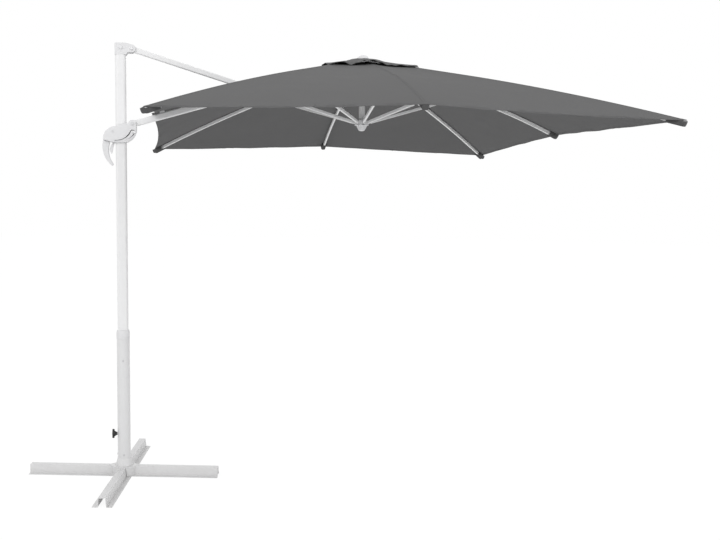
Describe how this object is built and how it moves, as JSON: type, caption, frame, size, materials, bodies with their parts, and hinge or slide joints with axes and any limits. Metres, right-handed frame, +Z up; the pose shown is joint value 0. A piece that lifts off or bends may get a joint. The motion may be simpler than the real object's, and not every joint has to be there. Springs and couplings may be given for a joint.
{
  "type": "cantilever parasol",
  "caption": "Free-standing cantilever parasol: cross base, turning mast with slider, stay and boom holding a square ribbed canopy with a vent cap.",
  "frame": {"origin": "on the floor, on the mast's axis, at the middle of the cross base", "axes": "+Z up the mast; +X from the mast towards the canopy, along the boom; +Y completes the right hand"},
  "size_m": [3.1119, 2.4084, 2.4285],
  "materials": {
    "coated_steel": "satin",
    "coated_aluminium": "satin",
    "plated_steel": "satin",
    "light_plastic": "matte",
    "bearing_plastic": "matte",
    "knob_plastic": "matte",
    "brake_rubber": "matte",
    "canopy_fabric": "matte"
  },
  "bodies": {
    "base": {"floor_arm_east": "coated_steel", "floor_arm_north": "coated_steel", "floor_arm_west": "coated_steel", "floor_arm_south": "coated_steel", "cross_plate": "coated_steel", "mast_foot": "coated_steel", "foot_bolts": "plated_steel", "stand_tube": "coated_steel", "tube_screws": "plated_steel", "guide_bush": "bearing_plastic", "clamp_nut": "plated_steel"},
    "knob": {"clamp_knob": "knob_plastic"},
    "mast": {"mast_tube": "coated_aluminium", "mast_foot_bush": "bearing_plastic", "mast_collar": "light_plastic", "mast_head": "light_plastic", "head_bolts": "plated_steel"},
    "stay": {"stay_tube": "coated_aluminium", "stay_ends": "coated_aluminium"},
    "boom": {"boom_tube": "coated_aluminium", "boom_ends": "coated_aluminium", "joint_pin": "plated_steel", "hem_clip": "light_plastic"},
    "slider": {"slider_shell_near": "light_plastic", "slider_shell_far": "light_plastic", "slider_liner": "bearing_plastic", "slider_handle": "light_plastic", "slider_bolts": "plated_steel"},
    "lever": {"release_lever": "light_plastic"},
    "shoe": {"brake_shoe": "brake_rubber"},
    "crown": {"crown_hub": "light_plastic", "crown_pins": "plated_steel", "finial": "light_plastic", "centre_tube": "coated_aluminium", "canopy_cloth": "canopy_fabric", "vent_cloth": "canopy_fabric"},
    "rib_east": {"rib_east": "coated_aluminium", "rib_fittings_east": "light_plastic"},
    "rib_northeast": {"rib_northeast": "coated_aluminium", "rib_fittings_northeast": "light_plastic"},
    "rib_north": {"rib_north": "coated_aluminium", "rib_fittings_north": "light_plastic"},
    "rib_northwest": {"rib_northwest": "coated_aluminium", "rib_fittings_northwest": "light_plastic"},
    "rib_southwest": {"rib_southwest": "coated_aluminium", "rib_fittings_southwest": "light_plastic"},
    "rib_south": {"rib_south": "coated_aluminium", "rib_fittings_south": "light_plastic"},
    "rib_southeast": {"rib_southeast": "coated_aluminium", "rib_fittings_southeast": "light_plastic"},
    "strut_east": {"strut_east": "coated_aluminium"},
    "strut_northeast": {"strut_northeast": "coated_aluminium"},
    "strut_north": {"strut_north": "coated_aluminium"},
    "strut_northwest": {"strut_northwest": "coated_aluminium"},
    "strut_southwest": {"strut_southwest": "coated_aluminium"},
    "strut_south": {"strut_south": "coated_aluminium"},
    "strut_southeast": {"strut_southeast": "coated_aluminium"},
    "strut_west": {"strut_west": "coated_aluminium"},
    "runner": {"runner_hub": "light_plastic", "runner_pins": "plated_steel"}
  },
  "joints": [
    {"name": "mast_turn", "type": "hinge", "parent": "base", "child": "mast", "pos_m": [0, 0, 0.3], "axis": [0, 0, 1], "continuous": true},
    {"name": "knob_turn", "type": "hinge", "parent": "base", "child": "knob", "pos_m": [-0.05, 0, 0.238], "axis": [1, 0, 0], "continuous": true},
    {"name": "fold", "type": "hinge", "parent": "mast", "child": "stay", "pos_m": [0.062, 0, 2.399], "axis": [0, 1, 0], "range_deg": [0, 58.7], "deforming": ["canopy_cloth", "vent_cloth"]},
    {"name": "stay_joint", "type": "hinge", "parent": "stay", "child": "boom", "pos_m": [0.75623, 0, 2.19599], "axis": [0, 1, 0], "range_deg": [-117.4, 0]},
    {"name": "slider_joint", "type": "hinge", "parent": "boom", "child": "slider", "pos_m": [0.062, 0, 1.99299], "axis": [0, 1, 0], "range_deg": [0, 58.7]},
    {"name": "crown_joint", "type": "hinge", "parent": "boom", "child": "crown", "pos_m": [1.33211, 0, 2.36439], "axis": [0, 1, 0], "range_deg": [0, 58.7]},
    {"name": "rib_east_joint", "type": "hinge", "parent": "crown", "child": "rib_east", "pos_m": [1.39211, 0, 2.36439], "axis": [0, 1, 0], "range_deg": [0, 58.7]},
    {"name": "strut_east_joint", "type": "hinge", "parent": "rib_east", "child": "strut_east", "pos_m": [1.96799, 0, 2.19599], "axis": [0, 1, 0], "range_deg": [-117.4, 0]},
    {"name": "rib_northeast_joint", "type": "hinge", "parent": "crown", "child": "rib_northeast", "pos_m": [1.38332, 0.02121, 2.36439], "axis": [-0.7071, 0.7071, 0], "range_deg": [0, 58.7]},
    {"name": "strut_northeast_joint", "type": "hinge", "parent": "rib_northeast", "child": "strut_northeast", "pos_m": [1.79053, 0.42842, 2.19599], "axis": [-0.7071, 0.7071, 0], "range_deg": [-117.4, 0]},
    {"name": "rib_north_joint", "type": "hinge", "parent": "crown", "child": "rib_north", "pos_m": [1.36211, 0.03, 2.36439], "axis": [-1, 0, 0], "range_deg": [0, 58.7]},
    {"name": "strut_north_joint", "type": "hinge", "parent": "rib_north", "child": "strut_north", "pos_m": [1.36211, 0.60588, 2.19599], "axis": [-1, 0, 0], "range_deg": [-117.4, 0]},
    {"name": "rib_northwest_joint", "type": "hinge", "parent": "crown", "child": "rib_northwest", "pos_m": [1.3409, 0.02121, 2.36439], "axis": [-0.7071, -0.7071, 0], "range_deg": [0, 58.7]},
    {"name": "strut_northwest_joint", "type": "hinge", "parent": "rib_northwest", "child": "strut_northwest", "pos_m": [0.93369, 0.42842, 2.19599], "axis": [-0.7071, -0.7071, 0], "range_deg": [-117.4, 0]},
    {"name": "rib_southwest_joint", "type": "hinge", "parent": "crown", "child": "rib_southwest", "pos_m": [1.3409, -0.02121, 2.36439], "axis": [0.7071, -0.7071, 0], "range_deg": [0, 58.7]},
    {"name": "strut_southwest_joint", "type": "hinge", "parent": "rib_southwest", "child": "strut_southwest", "pos_m": [0.93369, -0.42842, 2.19599], "axis": [0.7071, -0.7071, 0], "range_deg": [-117.4, 0]},
    {"name": "rib_south_joint", "type": "hinge", "parent": "crown", "child": "rib_south", "pos_m": [1.36211, -0.03, 2.36439], "axis": [1, 0, 0], "range_deg": [0, 58.7]},
    {"name": "strut_south_joint", "type": "hinge", "parent": "rib_south", "child": "strut_south", "pos_m": [1.36211, -0.60588, 2.19599], "axis": [1, 0, 0], "range_deg": [-117.4, 0]},
    {"name": "rib_southeast_joint", "type": "hinge", "parent": "crown", "child": "rib_southeast", "pos_m": [1.38332, -0.02121, 2.36439], "axis": [0.7071, 0.7071, 0], "range_deg": [0, 58.7]},
    {"name": "strut_southeast_joint", "type": "hinge", "parent": "rib_southeast", "child": "strut_southeast", "pos_m": [1.79053, -0.42842, 2.19599], "axis": [0.7071, 0.7071, 0], "range_deg": [-117.4, 0]},
    {"name": "strut_west_joint", "type": "hinge", "parent": "boom", "child": "strut_west", "pos_m": [0.75623, 0, 2.19599], "axis": [0, -1, 0], "range_deg": [-117.4, 0]},
    {"name": "runner_joint", "type": "hinge", "parent": "strut_east", "child": "runner", "pos_m": [1.39211, 0, 2.02759], "axis": [0, 1, 0], "range_deg": [0, 58.7]},
    {"name": "lever_pull", "type": "hinge", "parent": "slider", "child": "lever", "pos_m": [0.064, 0, 1.94499], "axis": [0, 1, 0], "range_deg": [0, 5], "stiffness_Nm_per_rad": 1, "springref_deg": -5.73},
    {"name": "shoe_slide", "type": "slide", "parent": "slider", "child": "shoe", "axis": [1, 0, 0], "range_m": [0, 0.002]}
  ],
  "couplings": [
    {"joint": "stay_joint", "follows": "fold", "ratio": -2},
    {"joint": "slider_joint", "follows": "fold", "ratio": 1},
    {"joint": "crown_joint", "follows": "fold", "ratio": 1},
    {"joint": "rib_east_joint", "follows": "fold", "ratio": 1},
    {"joint": "strut_east_joint", "follows": "fold", "ratio": -2},
    {"joint": "rib_northeast_joint", "follows": "fold", "ratio": 1},
    {"joint": "strut_northeast_joint", "follows": "fold", "ratio": -2},
    {"joint": "rib_north_joint", "follows": "fold", "ratio": 1},
    {"joint": "strut_north_joint", "follows": "fold", "ratio": -2},
    {"joint": "rib_northwest_joint", "follows": "fold", "ratio": 1},
    {"joint": "strut_northwest_joint", "follows": "fold", "ratio": -2},
    {"joint": "rib_southwest_joint", "follows": "fold", "ratio": 1},
    {"joint": "strut_southwest_joint", "follows": "fold", "ratio": -2},
    {"joint": "rib_south_joint", "follows": "fold", "ratio": 1},
    {"joint": "strut_south_joint", "follows": "fold", "ratio": -2},
    {"joint": "rib_southeast_joint", "follows": "fold", "ratio": 1},
    {"joint": "strut_southeast_joint", "follows": "fold", "ratio": -2},
    {"joint": "strut_west_joint", "follows": "fold", "ratio": -2},
    {"joint": "runner_joint", "follows": "fold", "ratio": 1},
    {"joint": "shoe_slide", "follows": "lever_pull", "m_per_rad": 0.022916}
  ]
}
